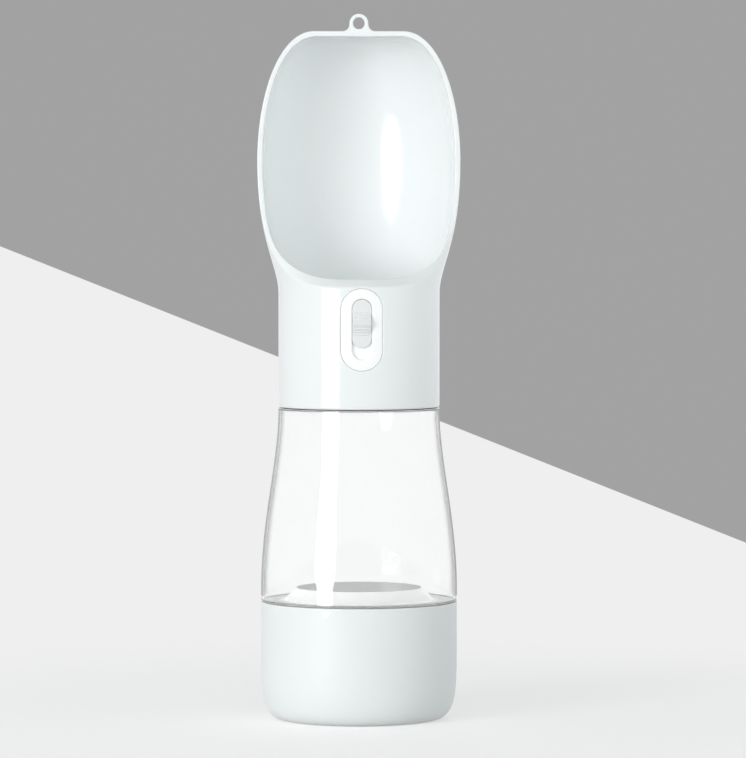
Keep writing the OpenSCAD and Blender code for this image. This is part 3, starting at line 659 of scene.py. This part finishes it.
# the rim runs from the middle of the lip to the side, then straight up to the top
lay = np.radians(90 * (1 - np.linspace(0, 1, 6000) ** 2))
sweep_power, lip_lift = 1.08, 3.3
lay_z = lip_z + (side_z - lip_z) * (1 - np.sin(lay) ** sweep_power)
lay_run = outer.run_at(lay_z)
reach = outer.radius(lay_run[0]) * (1 - np.cos(lay) ** sweep_power)
lay_turn = np.arccos(np.clip(reach / outer.radius(lay_run), -1, 1))
lay_way = np.stack([outer.radius(lay_run) * np.sin(lay_turn), reach, lay_z], 1)
lay_length = np.concatenate([[0], np.cumsum(np.linalg.norm(np.diff(lay_way, axis=0), axis=1))])
curve_steps, side_steps = 116, 78
stops = np.linspace(0, lay_length[-1], curve_steps)
turn_o, run_o, lay = (np.interp(stops, lay_length, v) for v in (lay_turn, lay_run, lay))
run_i = inner.run_at(outer.height(run_o) + lip_lift * (1 - np.cos(lay) ** 4))
lip_share = np.concatenate([np.cos(turn_o) ** 2, np.zeros(side_steps)])
turn_o = np.concatenate([turn_o, np.full(side_steps, math.pi / 2)])
run_o = np.concatenate([run_o, np.linspace(run_o[-1], outer.run[-1], side_steps + 1)[1:]])
run_i = np.concatenate([run_i, np.linspace(run_i[-1], inner.run[-1], side_steps + 1)[1:]])


def set_back(chart, turn, run, amount):
    """The rim's line moved into the skin by an amount, square to itself."""
    radius = chart.radius(run)
    across, up = np.gradient(turn) * radius, np.gradient(run)
    length = np.hypot(across, up)
    across, up = across / length, up / length
    across[0], up[0], across[-1], up[-1] = 1, 0, 0, 1
    return turn + amount * up / radius, run - amount * across


# the rim is rounded a little more at the lip than at the sides
side_soft_o, side_soft_i = 0.55, 0.45
soft_o, soft_i = side_soft_o + 0.5 * lip_share, side_soft_i + 0.35 * lip_share
back_o, low_o = set_back(outer, turn_o, run_o, soft_o)
back_i, low_i = set_back(inner, turn_o, run_i, soft_i)
shoulder = int(np.argmax(np.gradient(run_o) > np.gradient(turn_o) * outer.radius(run_o)))
round_steps = growing(96, 0.14, 2.0)[1:]
head_points, head_faces = [], []


def grid(rows):
    """Lays a sheet of points and joins each four neighbours by a face."""
    base, wide = len(head_points), len(rows[0])
    for line in rows:
        head_points.extend(line)
    for i in range(len(rows) - 1):
        for j in range(wide - 1):
            a = base + i * wide + j
            head_faces.append((a, a + 1, a + wide + 1, a + wide))


def skin(chart, turn, run, down, flat_z):
    """One skin of the head: columns hang from the rim up to its shoulder, and rows start from it above."""
    fan = [turn[shoulder] + g * (math.pi - turn[shoulder]) for g in round_steps]
    grid([[chart.point(a, run[i] * (1 - f)) for f in down] for i, a in enumerate(turn[:shoulder + 1])])
    grid([[chart.point(a, run[shoulder] * (1 - f)) for f in down] for a in [turn[shoulder]] + fan])
    rows = [[chart.point(a, s) for a in [t] + [t + g * (math.pi - t) for g in round_steps]]
            for t, s in zip(turn[shoulder:], run[shoulder:])]
    grid(rows)
    start = rows[-1][0]
    line = [(start[0] * (1 - g), start[1], flat_z) for g in [0, *round_steps]]
    grid([[tuple(np.array(a) + (np.array(b) - np.array(a)) * g) for a, b in zip(line, rows[-1])]
          for g in growing(17, 0.14, 1.6)])
    return list(turn[:shoulder + 1]) + fan, line


ring_o, line_o = skin(outer, back_o, low_o, growing(45, 0.14, 2.0), top_z)
ring_i, line_i = skin(inner, back_i, low_i, growing(16, 0.14, 1.0), roof_z)

edge_o = [outer.point(a, s) for a, s in zip(turn_o, run_o)]
edge_i = [inner.point(a, s) for a, s in zip(turn_o, run_i)]
edge_o += [(crown_o * (1 - g), 0, top_z) for g in round_steps]
edge_i += [(crown_i * (1 - g), 0, roof_z) for g in round_steps]
tuck_o = [outer.point(a, s) for a, s in zip(back_o, low_o)] + line_o[1:]
tuck_i = [inner.point(a, s) for a, s in zip(back_i, low_i)] + line_i[1:]
soft_o = np.append(soft_o, np.full(len(round_steps), side_soft_o))
soft_i = np.append(soft_i, np.full(len(round_steps), side_soft_i))
band = []
for a, b, c, d, e, f in zip(tuck_o, edge_o, edge_i, tuck_i, soft_o, soft_i):
    a, b, c, d = (np.array(p, float) for p in (a, b, c, d))
    across = (c - b) / np.linalg.norm(c - b)
    near, far = b + across * e, c - across * f
    line = [(1 - t) ** 2 * a + 2 * (1 - t) * t * b + t * t * near for t in np.linspace(0, 1, 9)]
    line += [near + (far - near) * t for t in (0.12, 0.5, 0.88)]
    line += [(1 - t) ** 2 * far + 2 * (1 - t) * t * c + t * t * d for t in np.linspace(0, 1, 8)]
    band.append([tuple(p) for p in line])
grid(band)

# below and inside: the foot, the bore, the seat, the spigot of the riser's seal, and the outlet
inside = eased([
    (head_r, edge_z), (head_r, head_z, 0.8), (bore_r, head_z, 0.35), (bore_r, seat_z, 0.1),
    (seat_r, seat_z, 0.15), (seat_r, 160.8, 0.5), (25.0, ceiling_z, 0.5), (spigot_out, ceiling_z, 0.3),
    (spigot_out, spigot_z, 0.2), (spigot_in, spigot_z, 0.2), (spigot_in, ceiling_z, 0.2),
    (outlet_r, ceiling_z, 0.15), (outlet_r, floor_z, 0.3), (dish_r, floor_z)])
whole = []
for i, (r, z) in enumerate(inside):
    share = i / (len(inside) - 1)
    whole.append([(r * math.sin(a * (1 - share) + b * share), -r * math.cos(a * (1 - share) + b * share), z)
                  for a, b in zip(ring_o, ring_i)])
grid(whole)
half = len(head_points)
head_faces += [tuple(i + half for i in reversed(face)) for face in head_faces]
head_points += [(-x, y, z) for x, y, z in head_points]
head = mesh_piece("head_shell_body", head_points, head_faces, weld=0.0002)


def oval_block(name, centre_z, levels):
    """A closed block of ovals. A level is its width, height and depth, and the radius that depth is from."""
    points, faces, count = [], [], 120
    for wide, tall, depth, radius in levels:
        r, straight = wide / 2, (tall - wide) / 2
        for k in range(count):
            a = math.tau * (k + 0.5) / count
            x, z = r * math.cos(a), r * math.sin(a) + (straight if math.sin(a) > 0 else -straight)
            y = depth - (math.sqrt(radius ** 2 - x ** 2) if radius else 0)
            points.append((x, y, centre_z + z))
    for i in range(len(levels) - 1):
        for k in range(count):
            a, b = i * count + k, i * count + (k + 1) % count
            faces.append((a, b, b + count, a + count))
    last = (len(levels) - 1) * count
    for k in range(count // 2 - 1):
        for base in (0, last):
            faces.append((base + k, base + k + 1, base + count - 2 - k, base + count - 1 - k))
    return mesh_piece(name, points, faces)


def crisp(piece):
    """Smooth shading that stops at real edges."""
    shaded(piece, True)
    piece.data.set_sharp_from_angle(angle=math.radians(32))


# the hang loop: a flat eye with rounded edges on a flared foot
eye_z, eye_r, eye_hole, eye_half, eye_edge, eye_y = 265.9, 3.6, 2.25, 0.83, 0.45, 1.32
foot_turn, foot_sunk = 2.6, 1.1
eye_curve = bpy.data.curves.new("hang_loop", "CURVE")
eye_curve.dimensions, eye_curve.fill_mode = "2D", "BOTH"
eye_curve.extrude, eye_curve.bevel_resolution = eye_half, 4
eye_curve.bevel_depth, eye_curve.offset = eye_edge, -eye_edge
foot_x = eye_r + foot_turn
foot = [(-foot_x, top_z - foot_sunk)]
foot += [(-foot_x + foot_turn * math.sin(a), top_z + foot_turn - foot_turn * math.cos(a))
         for a in np.linspace(0, math.pi / 2, 14)]
outline_points = (
    foot + [(-eye_r * math.cos(a), eye_z + eye_r * math.sin(a)) for a in np.linspace(0, math.pi, 49)]
    + [(-x, z) for x, z in reversed(foot)])
hole_points = [(eye_hole * math.cos(a), eye_z + eye_hole * math.sin(a))
               for a in np.linspace(0, math.tau, 49)[:-1]]
for ring in (outline_points, hole_points):
    path = eye_curve.splines.new("POLY")
    path.points.add(len(ring) - 1)
    path.points.foreach_set("co", [c for x, z in ring for c in (x, z, 0, 1)])
    path.use_cyclic_u = True
eye_shape = placed("hang_loop", eye_curve)
flat = bpy.data.meshes.new_from_object(eye_shape.evaluated_get(bpy.context.evaluated_depsgraph_get()))
bpy.data.objects.remove(eye_shape)
hang_loop = mesh_piece("hang_loop", [(v.co.x, eye_y - v.co.z, v.co.y) for v in flat.vertices],
                       [tuple(p.vertices) for p in flat.polygons], weld=0.001)
carve(head, hang_loop, "UNION")

# the button's sleeve is joined on, then cut through with a soft front edge
button_z, button_w, button_h, gap = 149.55, 15.8, 31.0, 0.07
open_w, open_h = button_w + 2 * gap, button_h + 2 * gap
sleeve_y, sleeve_r = -24.0, 30.3


def wider(wide, tall, levels):
    """Levels given as an amount added to an oval's width and height, a depth and a radius."""
    return [(wide + more, tall + more, depth, radius) for more, depth, radius in levels]


def oval_tool(name, centre_z, wide, tall, levels):
    """An oval block to join on or to cut with, whose end faces close to a small oval in the middle."""
    first, last = ((1 - wide, *level[1:]) for level in (levels[0], levels[-1]))
    return oval_block(name, centre_z, wider(wide, tall, [first, *levels, last]))


carve(head, oval_tool("sleeve", button_z, open_w, open_h, [
    (1.4, sleeve_y + 0.3, None), (2, sleeve_y, None), (2, 0, sleeve_r), (9 - open_w, 0, sleeve_r)]), "UNION")
carve(head, oval_tool("opening", button_z, open_w, open_h, [
    (0.9, -1, head_r), (0.6, -0.03, head_r), (0.38, 0.02, head_r), (0.2, 0.08, head_r), (0.07, 0.17, head_r),
    (0, 0.3, head_r), (0, sleeve_y + 0.1, None), (0.5, sleeve_y + 0.5, None)]), "DIFFERENCE")
crisp(painted(head, head_white))
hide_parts("head_shell")
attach(head, "head")


# Button: an oval in white ABS that follows the head's round front, with a slot for the lock, a low wall
# round its back and a socket for the plunger.
button_white = moulded("button white", (0.985, 0.99, 0.99), roughness=0.2, mottle=0.006)
slot_z, slot_w, slot_h, slot_y = 149.75, 7.5, 22.9, -29.3
button_edge, wall_y, back_y = 0.45, -27.0, -28.0


def rings(wide, tall, insets, depth, radius=None):
    """Levels at one depth that step inwards from an oval's edge."""
    return wider(wide, tall, [(-2 * inset, depth, radius) for inset in insets])


def rounded(wide, tall, edge, insets, depth=0, radius=None):
    """Levels that turn the corner from an oval's face to its side."""
    return [level for inset in insets for level in rings(
        wide, tall, (inset,), depth + edge - math.sqrt(edge ** 2 - (edge - inset) ** 2), radius)]


front = (rings(button_w, button_h, (7.6, 6.6, 5.4, 4.2, 3.0, 1.9, 1.1, 0.75), 0, head_r)
         + rounded(button_w, button_h, button_edge, (button_edge, 0.3, 0.19, 0.1, 0.04, 0.01, 0.0), 0, head_r))
back = (wider(button_w, button_h, [(0, 0.7, head_r), (0, wall_y - 0.4, None), (0, wall_y - 0.15, None)])
        + rings(button_w, button_h, (0.05, 0.15, 0.5, 0.85, 0.95), wall_y)
        + wider(button_w, button_h, [(-2, wall_y - 0.1, None), (-2, back_y + 0.2, None)])
        + rings(button_w, button_h, (1.05, 1.2, 1.6, 4.5, 7.6), back_y))
button = oval_block("water_button_body", button_z, front + back)
carve(button, oval_tool("slot", slot_z, slot_w, slot_h, [
    (0.6, -1, head_r), (0.42, -0.02, head_r), (0.2, 0.04, head_r), (0.05, 0.14, head_r), (0, 0.3, head_r),
    (0, slot_y - 0.2, None), (-0.12, slot_y - 0.05, None), (-0.4, slot_y, None)]), "DIFFERENCE")
carve(button, block("window", (-1.2, 1.2), (-30.0, -27.2), (143.1, 149.6)), "DIFFERENCE")
plunger_z = 154.65
socket = turned("plunger_socket", eased([
    (3.3, -0.4), (3.6, -0.4, 0.05), (3.6, 2.0, 0.15), (3.03, 2.0, 0.1), (3.03, -0.4, 0.05), (3.3, -0.4)], 3),
    button_white, 48)
for corner in socket.data.vertices:
    x, y, z = corner.co
    corner.co = (x, z + back_y * mm, plunger_z * mm - y)
carve(button, socket, "UNION")
crisp(painted(button, button_white))
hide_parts("water_button")
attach(button, "button")


# Lock: a light grey slider in the button's slot. It is an oval plate with a thumb ridge, three grip ribs
# on each side of the crest, and a neck that passes through the button to the retainer behind it.
lock_grey = moulded("lock grey", (0.80, 0.81, 0.815), roughness=0.3, mottle=0.015, grain=0.05)
lock_z, lock_w, lock_h, lock_edge, face_y, lock_back = 151.9, 7.3, 18.25, 0.25, -30.5, -29.1
slider = oval_block("lock_slider_body", lock_z, (
    rings(lock_w, lock_h, (3.4, 1.2, 0.4), face_y)
    + rounded(lock_w, lock_h, lock_edge, (lock_edge, 0.16, 0.08, 0.03, 0.0), face_y)
    + rings(lock_w, lock_h, (0,), lock_back - 0.2) + rings(lock_w, lock_h, (0.05, 0.2, 3.4), lock_back)))
ridge_half, ridge_h = 4.2, 2.2
crest = [(ridge_half, -0.3), (ridge_half, 0.02), (3.6, 0.27), (2.6, 0.78), (1.5, 1.36), (0.9, 1.72),
         (0.62, 1.9), (0.4, 2.08), (0.2, 2.17), (0.0, ridge_h)]
crest += [(-d, h) for d, h in crest[-2::-1]]
left_end = [(-3.6, 0.28), (-3.54, 0.13), (-3.42, 0.04), (-3.22, 0.0)]
stations = left_end + [(-x, drop) for x, drop in reversed(left_end)]
ridge_points = [(x, face_y - max(h - drop, -0.3), lock_z + d * (1 - drop * 0.1))
                for x, drop in stations for d, h in crest]
wide, last = len(crest), len(stations) - 1
ridge_faces = []
for i in range(last):
    for j in range(wide):
        a, b = i * wide + j, i * wide + (j + 1) % wide
        ridge_faces.append((a, b, b + wide, a + wide))
ridge_faces += [tuple(range(wide)), tuple(range(last * wide, (last + 1) * wide))]
carve(slider, mesh_piece("lock_ridge", ridge_points, ridge_faces), "UNION")
carve(slider, block("lock_neck", (-1.0, 1.0), (-29.4, -26.3), (147.6, 149.4)), "UNION")
crisp(painted(slider, lock_grey))
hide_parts("lock_slider")
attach(slider, "lock")

bars, bench, (_, count, first, step, length, radius, finish) = piece_maker(
    "grip bars", Geometry="Geometry", Count="Int", First="Vector", Step="Vector", Length="Float", Radius="Float",
    Finish="Material")
along, around, _ = bench.parts(bench.node("InputPosition"))
bar = bench.node("MeshGrid", {}, {"Size X": 2.0, "Size Y": 2.0, "Vertices X": 15, "Vertices Y": 17})
reach = radius * bench.maths("SQRT", 1.0 - along ** 8.0)
turn = around * math.pi
bar = bench.node("SetPosition", {}, {0: bar, 2: bench.xyz(
    along * length / 2, bench.maths("COSINE", turn) * reach, bench.maths("SINE", turn) * reach)})
bar = bench.node("MergeByDistance", {}, {0: bar, "Distance": 4e-7})
line = bench.node("MeshLine", {"mode": "OFFSET"}, {"Count": count, "Start Location": first, "Offset": step})
grips = bench.node("InstanceOnPoints", {}, {"Points": line, "Instance": bar})
grips = bench.node("SetShadeSmooth", {}, {0: bench.node("RealizeInstances", {}, {0: grips})})
bench.shown_by("NodeGroupOutput", bench.node("SetMaterial", {}, {0: grips, 2: finish}))
for name, side in (("lock_grip_ribs_upper", 1), ("lock_grip_ribs_lower", -1)):
    ribs = placed(name, bpy.data.meshes.new(name))
    with_nodes(ribs, bars, Count=3, First=(0, (face_y - 1.02) * mm, (lock_z + side * 1.93) * mm),
               Step=(0, 0.53 * mm, side * 1.03 * mm), Length=6.3 * mm, Radius=0.4 * mm, Finish=lock_grey)
    outwards(ribs, lock_grey)
    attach(ribs, "lock")


# Springs: steel wire wound into open coils, one behind the button and one round the valve's stem.
def wire_steel(name):
    """Drawn spring steel: bright, with fine drawing marks and a little uneven oil film."""
    paint, bench = blank_paint(name)
    place = bench.node("TexCoord", out=3)
    film = bench.noise(place, 260.0, 4.0)
    marks = bench.noise(place, 2600.0, 2.0)
    skin = bench.plastic(
        bench.colours(film, (0.50, 0.50, 0.51), (0.66, 0.66, 0.66)), Metallic=1.0,
        Roughness=0.24 + (film - 0.5) * 0.2, Normal=bench.relief(marks, 0.15, 0.00005))
    bench.shown_by("ShaderNodeOutputMaterial", skin)
    return paint


spring_steel = wire_steel("spring steel")
coil, bench, (_, radius, wire, turns, height, steps, finish) = piece_maker(
    "coil", Geometry="Geometry", Radius="Float", Wire="Float", Turns="Float", Height="Float", Steps="Int",
    Finish="Material")
along, around, _ = bench.parts(bench.node("InputPosition"))
tube = bench.node("MeshGrid", {}, {"Size X": 1.0, "Size Y": 2.0, "Vertices X": steps, "Vertices Y": 11})
along = along + 0.5
# the last quarter turn at each end lies flat, and the wire's own ends are rounded off
share = bench.ramp(along * turns, 0.25, turns - 0.25)
tip = bench.maths("SQRT", bench.ramp(bench.maths("MINIMUM", along, 1.0 - along) * turns, 0.0, 0.012))
small = around * math.pi
out = radius + bench.maths("COSINE", small) * wire * 0.5 * tip
lift = bench.maths("SINE", small) * wire * 0.5 * tip
tube = bench.node("SetPosition", {}, {0: tube, 2: wheel(
    bench, along * turns * math.tau, out, wire * 0.5 + (height - wire) * share + lift)})
tube = bench.node("MergeByDistance", {}, {0: tube, "Distance": 4e-7})
tube = bench.node("RealizeInstances", {}, {0: bench.node("SetShadeSmooth", {}, {0: tube})})
bench.shown_by("NodeGroupOutput", bench.node("SetMaterial", {}, {0: tube, 2: finish}))
valve_spring_z, spring_wire = 139.5, 0.6
for name, node, mean, turns, height, steps in (("button_spring_coil", "button_spring", 4.10, 7.0, 14.0, 400),
                                               ("valve_spring_coil", "valve_spring", 2.5, 5.0, 9.65, 260)):
    spring = placed(name, bpy.data.meshes.new(name))
    with_nodes(spring, coil, Radius=mean * mm, Wire=spring_wire * mm, Turns=turns, Height=height * mm,
               Steps=steps, Finish=spring_steel)
    for corner in spring.data.vertices:
        x, y, z = corner.co
        if node == "button_spring":
            corner.co = (x, z + back_y * mm, plunger_z * mm - y)
        else:
            corner.co = (x, y, z + valve_spring_z * mm)
    outwards(spring, spring_steel)
    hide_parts(node)
    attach(spring, "head")
    if node == "button_spring":
        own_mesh(spring)
    else:
        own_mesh(spring)


bpy.context.view_layer.update()
